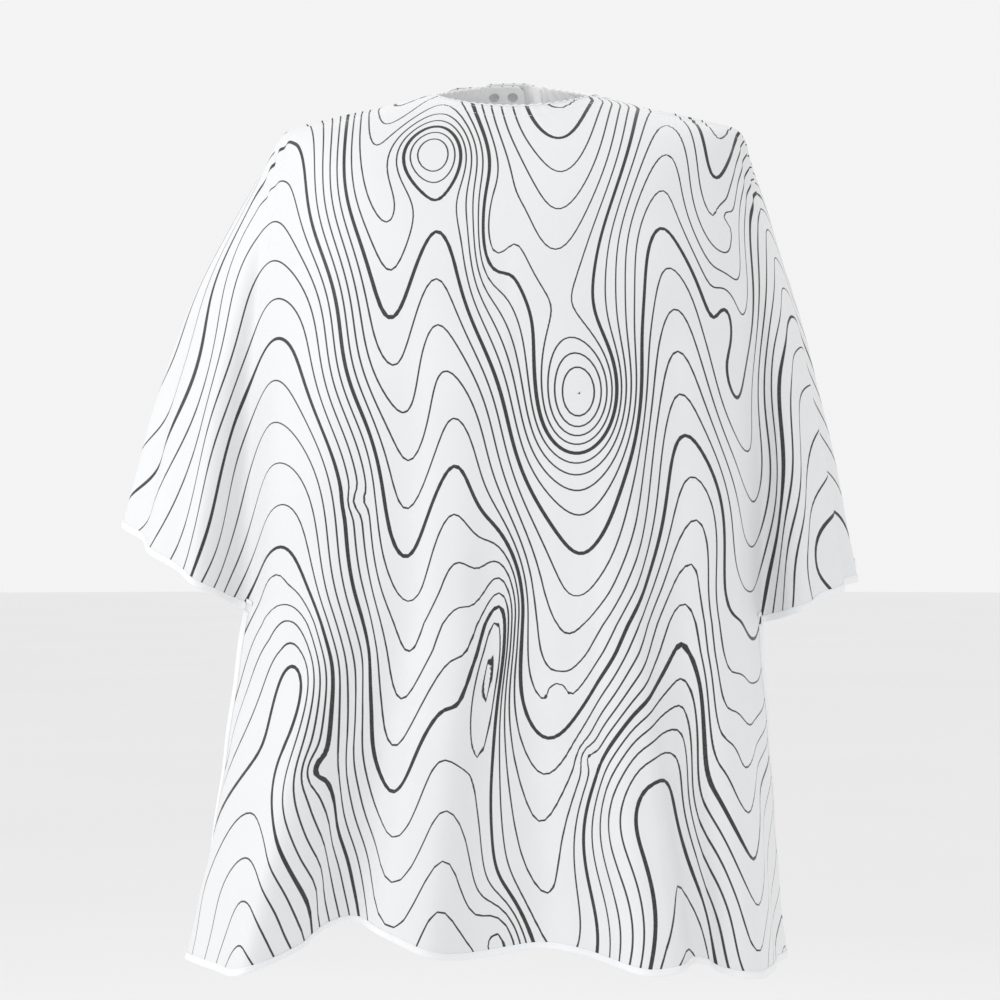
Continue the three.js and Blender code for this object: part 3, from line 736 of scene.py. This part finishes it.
# One stitch: a short rounded capsule of thread along X, in triangles.
capsule_along = np.array([-0.42, 0.0, 0.42])
capsule_radius = np.array([0.7, 1.0, 0.7])
capsule_turn = np.linspace(0, 2 * np.pi, 6, endpoint=False)
capsule_rings = np.stack([
    np.broadcast_to(capsule_along[:, None], (3, 6)),
    capsule_radius[:, None] * np.cos(capsule_turn),
    capsule_radius[:, None] * np.sin(capsule_turn),
], axis=-1).reshape(-1, 3)
capsule = np.vstack([capsule_rings, [-0.5, 0, 0], [0.5, 0, 0]])
capsule_sides = tube_faces(3, 6, False)
capsule_j = np.arange(6)
capsule_k = (capsule_j + 1) % 6
capsule_faces = np.vstack([
    capsule_sides[:, [0, 1, 2]], capsule_sides[:, [0, 2, 3]],
    np.stack([capsule_k, capsule_j, np.full(6, 18)], axis=-1),
    np.stack([capsule_j + 12, capsule_k + 12, np.full(6, 19)], axis=-1),
])[:, ::-1]


def stitches(name, middles, along, normals, length=STITCH_LENGTH, radius=STITCH_RADIUS, body="cape"):
    """A row of separate stitches: one capsule at each middle, laid along the row and half sunk."""
    along = unit(along)
    side = unit(np.cross(normals, along))
    up = np.cross(along, side)
    scaled = capsule * np.array([length, radius, radius])
    axes = np.stack([along, side, up], axis=1)
    points = middles[:, None, :] + np.einsum("pk,nkx->npx", scaled, axes)
    faces = capsule_faces[None] + (np.arange(len(middles)) * len(capsule))[:, None, None]
    row = new_piece(name, points, faces.reshape(-1, 3))
    row.data.materials.append(thread.material)
    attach(row, body)
    return row


def stitch_places(path, normals, pitch=STITCH_PITCH):
    """Middles, directions and normals at an even pitch along a path."""
    lengths_along = np.concatenate([[0], np.cumsum(np.linalg.norm(np.diff(path, axis=0), axis=1))])
    count = max(int(lengths_along[-1] / pitch), 1)
    stops = (np.arange(count) + 0.5) * lengths_along[-1] / count

    def at(where, values):
        return np.stack([np.interp(where, lengths_along, values[:, k]) for k in range(3)], axis=-1)

    return at(stops, path), at(stops + 0.5, path) - at(stops - 0.5, path), unit(at(stops, normals))


def vertex_places(piece):
    """Places of a piece's vertices in metres, one row each."""
    places = np.empty(len(piece.data.vertices) * 3, np.float32)
    piece.data.vertices.foreach_get("co", places)
    return places.reshape(-1, 3)


def bind(name, node, u, v, inward_u, inward_v, flip):
    """Folds the tape round one edge and sews it through, on both faces."""
    piece = closed_strip(name, edge_points(u, v, inward_u, inward_v, TAPE_SECTION), flip)
    piece.data.materials.append(tape.material)
    places = vertex_places(piece)
    lay_threads(piece, np.stack([places[:, 0] + places[:, 1], places[:, 2]], axis=-1))
    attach(piece, "cape")
    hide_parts(node)
    for face, height in (("out", TAPE_HALF - 0.12), ("in", -TAPE_HALF + 0.12)):
        path = edge_points(u, v, inward_u, inward_v, np.array([(STITCH_INSET, height)]))[:, 0]
        over = edge_points(u, v, inward_u, inward_v, np.array([(STITCH_INSET, height * 2)]))[:, 0] - path
        stitches(f"{name}_stitches_{face}", *stitch_places(path, over))


TAPE_STEP = 0.0045
EDGE_STEPS = 150
SIDE_STEPS = 90
panel_length = np.linalg.norm(worn(0.1, 2.0) - worn(0.1, 1.0))
hem_u = np.arange(-SLIT + 0.001, SLIT - 0.001, TAPE_STEP)
bind("front_hem_tape", "front_hem", hem_u, np.full(len(hem_u), 2.0),
     np.zeros(len(hem_u)), np.full(len(hem_u), -1 / panel_length), False)
for side_name, sign in (("left", -1), ("right", 1)):
    lobe_u = sign * np.linspace(SLIT - 0.004, 1, EDGE_STEPS)
    bind(f"arm_hem_{side_name}_tape", f"arm_hem_{side_name}", lobe_u, np.ones(EDGE_STEPS),
         np.zeros(EDGE_STEPS), -1 / column_length(lobe_u), sign < 0)
    side_v = np.linspace(1.004, 1.985, SIDE_STEPS)
    width_u = np.linalg.norm(worn(sign * (SLIT - 0.01), side_v) - worn(sign * SLIT, side_v), axis=-1) / 0.01
    side_u = np.full(SIDE_STEPS, sign * (SLIT - 0.0005))
    bind(f"side_hem_{side_name}_tape", f"side_hem_{side_name}", side_u, side_v,
         -sign / width_u, np.zeros(SIDE_STEPS), sign < 0)
    back_v = np.linspace(0.0, 0.99, EDGE_STEPS)
    width_u = np.linalg.norm(worn(sign * 0.99, back_v) - worn(sign * 1.0, back_v), axis=-1) / 0.01
    bind(f"back_edge_{side_name}_tape", f"back_edge_{side_name}", np.full(EDGE_STEPS, sign * 1.0), back_v,
         -sign / width_u, np.zeros(EDGE_STEPS), sign < 0)

# ---------------------------------------------------------------------------------------------------
# Bar tacks: a dense bar of satin stitches across the top of each side slit, which stops it tearing.
TACK_THREADS = 16
for side_name, sign in (("left", -1), ("right", 1)):
    tack_u = sign * np.linspace(SLIT - 0.0182, SLIT - 0.0062, TACK_THREADS)
    tack_v = np.full(TACK_THREADS, 1 - 8 / column_length(np.array(SLIT)))
    tack_point, tack_normal = sheet_frame(tack_u, tack_v)
    tack_down = worn(tack_u, tack_v + 0.004) - worn(tack_u, tack_v - 0.004)
    tack = stitches(f"slit_tack_{side_name}_threads", tack_point + tack_normal * 1.35, tack_down,
                    tack_normal, length=4.2, radius=0.42)
    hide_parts(f"slit_tack_{side_name}")

# ---------------------------------------------------------------------------------------------------
# Neck casing: a white facing sewn inside the neckline, rolled over the sheet's top edge, with a ribbed
# elastic behind the sheet inside it. Two rows of stitches close the casing over the elastic.
FACING_WIDTH = 21.0
FACING_TOP = 1.5
ELASTIC_TOP = 6.0
ELASTIC_WIDTH = 8.0
RIB_PITCH = 0.9

lining = Finish("white_lining", Roughness=0.7, Sheen_Weight=0.2)
lining_threads = weave(lining, lining.thread_place(), 0.0006)
lining.feed("Base Color", lining.blend(
    lining.noise(lining.place(), 40, 3), (0.86, 0.86, 0.865, 1), (0.92, 0.92, 0.92, 1)))
lining.bump(lining_threads * 0.5 + lining.noise(lining.place(), 90, 3), 0.3, 0.0003)

neck_u = np.linspace(-0.982, 0.982, 420)
casing_section = np.array([
    (1.6, 0.62), (0.4, 0.62), (-0.5, 0.35), (-0.9, -0.4), (-0.7, -1.4), (0.3, -2.1), (1.6, -2.35),
    (12.0, -2.5), (FACING_TOP + FACING_WIDTH, -2.3), (FACING_TOP + FACING_WIDTH, -1.85),
    (12.0, -1.95), (1.8, -1.75), (0.4, -1.3), (0.1, -0.5), (0.3, 0.27), (1.6, 0.29),
])
neck_facing = closed_strip("neck_casing", edge_points(
    neck_u, np.zeros(len(neck_u)), np.zeros(len(neck_u)), 1 / column_length(neck_u), casing_section), True)
elastic_u = np.linspace(-0.975, 0.975, 900)
elastic_section = np.array([
    (ELASTIC_TOP, -0.85), (ELASTIC_TOP, -1.45), (ELASTIC_TOP + ELASTIC_WIDTH, -1.45),
    (ELASTIC_TOP + ELASTIC_WIDTH, -0.85),
])
neck_elastic = closed_strip("ribbed_elastic", edge_points(
    elastic_u, np.zeros(len(elastic_u)), np.zeros(len(elastic_u)), 1 / column_length(elastic_u),
    elastic_section), False)
knit = Finish("knitted_elastic", Roughness=0.8, Sheen_Weight=0.3)
rib_wave_and_groove_shade = (knit.parts(knit.thread_place(), "X") * (2 * np.pi / (RIB_PITCH * MM))).math("SINE")
# The elastic's colour is painted shade: it follows the rib wave, darker in each groove and lighter on the
# crests.
knit.feed("Base Color", knit.blend(
    rib_wave_and_groove_shade * 0.5 + 0.5, (0.78, 0.78, 0.76, 1), (0.92, 0.92, 0.90, 1)))
knit.bump(rib_wave_and_groove_shade, 0.6, 0.0004)


def flat_by_angle(piece):
    """Lays threads by the angle round the neck and the height, for strips round the neck."""
    places = vertex_places(piece)
    around = np.arctan2(places[:, 0], -places[:, 1]) * NECK_HALF_WIDTH * MM
    lay_threads(piece, np.stack([around, places[:, 2]], axis=-1))


def sew_on(piece, finish, slot_name, body, *nodes):
    """Gives a piece its finish, and says which body it rides and which nodes it stands for."""
    piece.data.materials.append(finish.material)
    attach(piece, body)
    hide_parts(*nodes)


flat_by_angle(neck_facing)
flat_by_angle(neck_elastic)
sew_on(neck_facing, lining, "white_lining", "cape", "neck_facing")
sew_on(neck_elastic, knit, "knitted_elastic", "cape", "neck_elastic")
for row_name, row_drop in (("upper", 4.2), ("lower", 16.0)):
    row_u = np.linspace(-0.975, 0.975, 700)
    row_point, row_normal = sheet_frame(row_u, row_drop / column_length(row_u))
    stitches(
        f"casing_stitches_{row_name}", *stitch_places(row_point + row_normal * 0.3, row_normal))

# ---------------------------------------------------------------------------------------------------
# Care label: a small blank woven satin ribbon sewn flat inside the casing near the +X back edge.
LABEL_STEPS = 24
label_u = np.linspace(0.842, 0.908, LABEL_STEPS)
label_section = np.array([
    (4.0, -2.75), (4.0, -3.05), (14.0, -3.3), (24.0, -3.1), (24.0, -2.8), (14.0, -2.95),
])
care_label = closed_strip("care_label_ribbon", edge_points(
    label_u, np.zeros(LABEL_STEPS), np.zeros(LABEL_STEPS), 1 / column_length(label_u), label_section), False)
flat_by_angle(care_label)
satin = Finish("label_satin", Roughness=0.35, Sheen_Weight=0.4)
satin_thread = (satin.parts(satin.thread_place(), "Y") * (2 * np.pi / 0.0005)).math("SINE")
satin.feed("Base Color", satin.blend(
    satin.noise(satin.place(), 150, 2), (0.84, 0.84, 0.85, 1), (0.93, 0.93, 0.93, 1)))
satin.bump(satin_thread, 0.3, 0.0002)
sew_on(care_label, satin, "white_lining", "cape", "care_label")
label_point, label_normal = sheet_frame(label_u, 5.2 / column_length(label_u))
stitches("label_stitches", *stitch_places(label_point - label_normal * 3.15, -label_normal, 2.4),
         length=1.8, radius=0.15)

# ---------------------------------------------------------------------------------------------------
# Closure tabs: two straps of the cape's cloth over a felt interlining, turned and edge-stitched. The
# under tab is sewn on the -X casing and bridges the gap; the over tab grows out of the +X back edge.
BAND_HEIGHT = 25.0
TAB_CORNER = 8.0
TAB_RAMP = 14.0
SNAP_PITCH = 17.0
STUD_COUNT = 4
SNAP_COUNT = 2
UNDER_TAB = (-10.5, 60.0)
OVER_TAB = (-28.4, 26.6)
POST_LOW = 1.1
STRIP_LOW = 1.8
STUD_LOW = 4.1
SOCKET_LOW = 5.0
TAB_LOW = 7.6
CAP_LOW = 9.9
TAB_REST = -1.0
TAB_ROWS = 71
TAB_COLUMNS = 25
FOLD_LENGTH = 10.0


def band_down(angle):
    """Slope of the sheet off the neck ring; across the back gap it swings evenly from side to side."""
    wrapped = np.where(angle > np.pi, angle - 2 * np.pi, angle)
    u = wrapped / BACK_ANGLE
    on_sheet = unit(shoulder_rail(u) - neck_point(wrapped))
    edge = unit(shoulder_rail(np.array([1.0])) - neck_point(np.array([BACK_ANGLE])))[0]
    level_part = np.hypot(edge[0], edge[1])
    turn = np.arctan2(edge[0], edge[1]) * (np.pi - angle) / (np.pi - BACK_ANGLE)
    across_gap = np.stack(
        [level_part * np.sin(turn), level_part * np.cos(turn), np.full(turn.shape, edge[2])], axis=-1)
    return np.where((np.abs(u) <= 1)[..., None], on_sheet, across_gap)


def band_frame(distance, width):
    """Point of the neck band, and its across, down and outward directions, at a distance from the
    centre back and a width below the neck ring."""
    distance, width = np.broadcast_arrays(np.asarray(distance, float), np.asarray(width, float))

    def at(where):
        angle = ring_angle(where)
        return neck_point(angle) + band_down(angle) * width[..., None]

    across = unit(at(distance + 0.5) - at(distance - 0.5))
    down = band_down(ring_angle(distance))
    return at(distance), across, down, unit(np.cross(down, across))


def tab_rise(distance):
    """Height of the over tab over the sheet: it lies level with it at the root and ramps over the studs."""
    start = OVER_TAB[0] + 1
    return TAB_REST + (TAB_LOW - TAB_REST) * smoothstep(distance, start, start + TAB_RAMP)


def tab_inset(distance, ends, round_start):
    """How far a round corner cuts in: radius minus the height of its quarter circle."""
    into = np.minimum(distance - ends[0] if round_start else TAB_CORNER, ends[1] - distance)
    t = np.clip(into / TAB_CORNER, 0, 1)
    return TAB_CORNER * (1 - np.sqrt(np.maximum(1 - (1 - t) ** 2, 0)))


def tab_grid(ends, round_start, trim):
    """Distances and widths of a tab's grid, closer together at its round ends."""
    share = (1 - np.cos(np.linspace(0, np.pi, TAB_ROWS))) / 2
    distance = (ends[0] + trim + (ends[1] - ends[0] - 2 * trim) * share)[:, None]
    margin = 1 + trim + tab_inset(distance, ends, round_start) * 0.98
    width = margin + (BAND_HEIGHT - 2 * margin) * np.linspace(0, 1, TAB_COLUMNS)[None, :]
    return np.broadcast_to(distance, width.shape), width


def tab_layer(name, ends, round_start, rise, low, high, trim=0.0):
    """One cloth layer of a tab: a closed shell whose edges thin out as turned cloth does."""
    distance, width = tab_grid(ends, round_start, trim)
    point, _, _, normal = band_frame(distance, width)
    middle = rise(distance) + (low + high) / 2
    half = np.full(distance.shape, (high - low) / 2)
    half[:, [0, -1]] *= 0.45
    half[[0, -1], :] *= 0.45
    quilt = 0.12 * np.sin(distance * 1.9) * np.sin(width * 0.5)
    upper = point + normal * (middle + half + quilt * 0.3)[..., None]
    lower = point + normal * (middle - half + quilt * 0.3)[..., None]
    across, down = distance.shape
    faces = grid_faces(across, down)
    offset = across * down
    index = np.arange(offset).reshape(across, down)
    rim = np.concatenate([index[:, 0], index[-1, 1:], index[-2::-1, -1], index[0, -2:0:-1]])
    after = np.roll(rim, -1)
    walls = np.stack([rim, after, after + offset, rim + offset], axis=-1)
    layer = new_piece(name, np.stack([upper, lower]), np.vstack([faces, faces[:, ::-1] + offset, walls]))
    lay_threads(layer, np.tile(np.stack([distance, width], axis=-1).reshape(-1, 2), (2, 1)) * MM)
    return layer, np.stack([upper, lower]).reshape(-1, 3)


def edge_rows(name, ends, round_start, rise, height, body):
    """One row of stitches round a tab, a little in from its edge."""
    distance, width = tab_grid(ends, round_start, 1.7)
    point, _, _, normal = band_frame(distance, width)
    point = point + normal * (rise(distance) + height)[..., None]
    loop = [np.concatenate([g[:, 0], g[-1, 1:], g[-2::-1, -1], g[0, -2:0:-1]]) for g in (point, normal)]
    return stitches(name, *stitch_places(*loop, 2.8), length=2.1, radius=0.17, body=body)


felt = Finish("felt_interlining", Roughness=0.9, Sheen_Weight=0.2)
felt_fluff = felt.noise(felt.place(), 600, 4)
felt.feed("Base Color", felt.blend(felt_fluff, (0.80, 0.80, 0.79, 1), (0.92, 0.92, 0.91, 1)))
felt.bump(felt_fluff, 0.5, 0.0003)


def level_rise(distance):
    """Height of the under tab over the sheet, the same all along."""
    return np.full(np.shape(distance), STRIP_LOW)


# Two points a short length apart at the root of the over tab, on the middle of the band.
fold_ends = OVER_TAB[0] - 0.5 + np.array([0, FOLD_LENGTH])
root_point, _, _, _ = band_frame(fold_ends, BAND_HEIGHT / 2)
fold_start, fold_end = (tuple(p) for p in root_point * MM)
TAB_LAYERS = [("inner", 0.0, 0.5, lining), ("interlining", 0.8, 1.2, felt), ("outer", 1.5, 2.0, printed)]
over_pieces = []
for tab, ends, round_start, rise, body in (
    ("under_tab", UNDER_TAB, True, level_rise, "cape"),
    ("over_tab", OVER_TAB, False, tab_rise, "over_tab"),
):
    for layer_name, low, high, cloth in TAB_LAYERS:
        trim = 1.2 if layer_name == "interlining" else 0.0
        layer, layer_points = tab_layer(f"{tab}_{layer_name}_cloth", ends, round_start, rise, low, high, trim)
        layer.data.materials.append(cloth.material)
        if cloth is printed:
            tab_level = grain_level(layer_points)
            keep_values(layer, "grain_level", tab_level)
            tab_slope = slope_per_mm(
                tab_level.reshape(-1, TAB_COLUMNS), layer_points.reshape(-1, TAB_COLUMNS, 3))
            keep_values(layer, "grain_slope", tab_slope.ravel())
        if body == "cape":
            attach(layer, "cape")
        else:
            over_pieces.append(layer)
        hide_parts(f"{tab}_{layer_name}")
edge_rows("under_tab_stitches", UNDER_TAB, True, level_rise, 2.05, "cape")
edge_rows("over_tab_stitches_out", OVER_TAB, False, tab_rise, 2.05, "over_tab")
edge_rows("over_tab_stitches_in", OVER_TAB, False, tab_rise, -0.05, "over_tab")
for layer in over_pieces:
    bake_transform(layer)

# ---------------------------------------------------------------------------------------------------
# Snaps: pressed nickel-plated brass. Posts rivet four studs to the under tab, and domed caps rivet two
# spring sockets to the over tab, so that the neck can be closed at three sizes.
nickel = Finish("nickel_snap", Metallic=1.0, Roughness=0.2)
nickel_wear = nickel.noise(nickel.place(), 900, 3)
nickel.feed("Base Color", nickel.blend(nickel_wear, (0.50, 0.51, 0.53, 1), (0.68, 0.69, 0.71, 1)))
nickel.feed("Roughness", nickel_wear * 0.18 + 0.14)
nickel.bump(nickel.noise(nickel.place(), 2500, 2), 0.12, 0.0001)
TURN_STEPS = 56
CORNER_ROUND = 0.12


def softened(profile, closed):
    """Rounds each corner of a profile: two points close to it and one drawn in between them."""
    profile = np.array(profile, float)
    result = [] if closed else [profile[0]]
    inner = range(len(profile)) if closed else range(1, len(profile) - 1)
    for k in inner:
        before, corner, after = profile[k - 1], profile[k], profile[(k + 1) % len(profile)]
        back, ahead = before - corner, after - corner
        back = back / np.linalg.norm(back) * min(CORNER_ROUND, np.linalg.norm(back) / 3)
        ahead = ahead / np.linalg.norm(ahead) * min(CORNER_ROUND, np.linalg.norm(ahead) / 3)
        result += [corner + back, corner + (back + ahead) * 0.22, corner + ahead]
    if not closed:
        result.append(profile[-1])
    return np.array(result)


def turned(name, profile, distance, offset, closed=False):
    """A profile of (radius, height) points turned about the band's outward normal at a snap. An open
    profile starts and ends on the axis."""
    profile = softened(profile, closed)
    rings = profile if closed else profile[1:-1]
    turn = np.linspace(0, 2 * np.pi, TURN_STEPS, endpoint=False)
    x = rings[:, :1] * np.cos(turn)
    y = rings[:, :1] * np.sin(turn)
    height = np.broadcast_to(rings[:, 1:], x.shape)
    local = np.stack([x, y, height], axis=-1).reshape(-1, 3)
    step = np.arange(TURN_STEPS)
    after = (step + 1) % TURN_STEPS
    count = len(rings)
    k = np.arange(count if closed else count - 1)[:, None] * TURN_STEPS
    next_ring = (k + TURN_STEPS) % (count * TURN_STEPS)
    sides = np.stack([k + step, k + after, next_ring + after, next_ring + step], axis=-1).reshape(-1, 4)
    triangles = np.vstack([sides[:, [0, 1, 2]], sides[:, [0, 2, 3]]])
    if not closed:
        first, last = len(local), len(local) + 1
        local = np.vstack([local, [0, 0, profile[0, 1]], [0, 0, profile[-1, 1]]])
        full = np.ones(TURN_STEPS, int)
        bottom = np.stack([after, step, full * first], axis=-1)
        top = np.stack([step, after, full * last], axis=-1)
        top[:, :2] += (count - 1) * TURN_STEPS
        triangles = np.vstack([triangles, bottom, top])
    frame_here = band_frame(np.array([distance]), np.array([BAND_HEIGHT / 2]))
    point, across, _, normal = (part[0] for part in frame_here)
    base = point + normal * offset
    placed = base + local[:, :1] * across + local[:, 1:2] * np.cross(normal, across) + local[:, 2:] * normal
    piece = new_piece(name, placed, triangles)
    piece.data.materials.append(nickel.material)
    return piece


# Profiles of the four halves: radius and height over the seat of each.
POST = [(0, 0), (4.4, 0), (4.8, 0.15), (4.8, 0.4), (1.4, 0.45), (1.4, 4.1), (0, 4.1)]
STUD = [(0, 1.4), (1.75, 1.4), (1.75, 0), (4.7, 0), (5.0, 0.25), (4.9, 0.6), (3.4, 0.5), (2.7, 0.65),
        (2.7, 1.0), (3.2, 1.45), (3.15, 1.85), (2.6, 2.25), (0.9, 2.3), (0.7, 2.1), (0, 2.1)]
SOCKET = [(1.95, 1.7), (3.75, 1.7), (3.75, 1.2), (3.6, 0.9), (3.8, 0.1), (4.5, 0), (5.1, 0.25), (5.6, 0.9),
          (5.6, 1.9), (5.3, 2.3), (1.95, 2.3)]
CAP = [(0, -2.6), (1.6, -2.6), (1.6, 0), (5.9, 0.0), (6.2, 0.2), (6.1, 0.5), (5.2, 0.95), (3.6, 1.35),
       (1.8, 1.6), (0, 1.7)]
for k in range(STUD_COUNT):
    for part, profile, offset in (("snap_post", POST, POST_LOW), ("snap_stud", STUD, STUD_LOW)):
        metal = turned(f"{part}_{k + 1}_turned", profile, k * SNAP_PITCH, offset)
        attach(metal, "cape")
        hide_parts(f"{part}_{k + 1}")
for k in range(SNAP_COUNT):
    socket = turned(f"snap_socket_{k + 1}_turned", SOCKET, k * SNAP_PITCH, SOCKET_LOW, closed=True)
    cap = turned(f"snap_cap_{k + 1}_turned", CAP, k * SNAP_PITCH, CAP_LOW)
    for metal, node in ((socket, f"snap_socket_{k + 1}"), (cap, f"snap_cap_{k + 1}")):
        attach(metal, "over_tab")
        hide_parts(node)
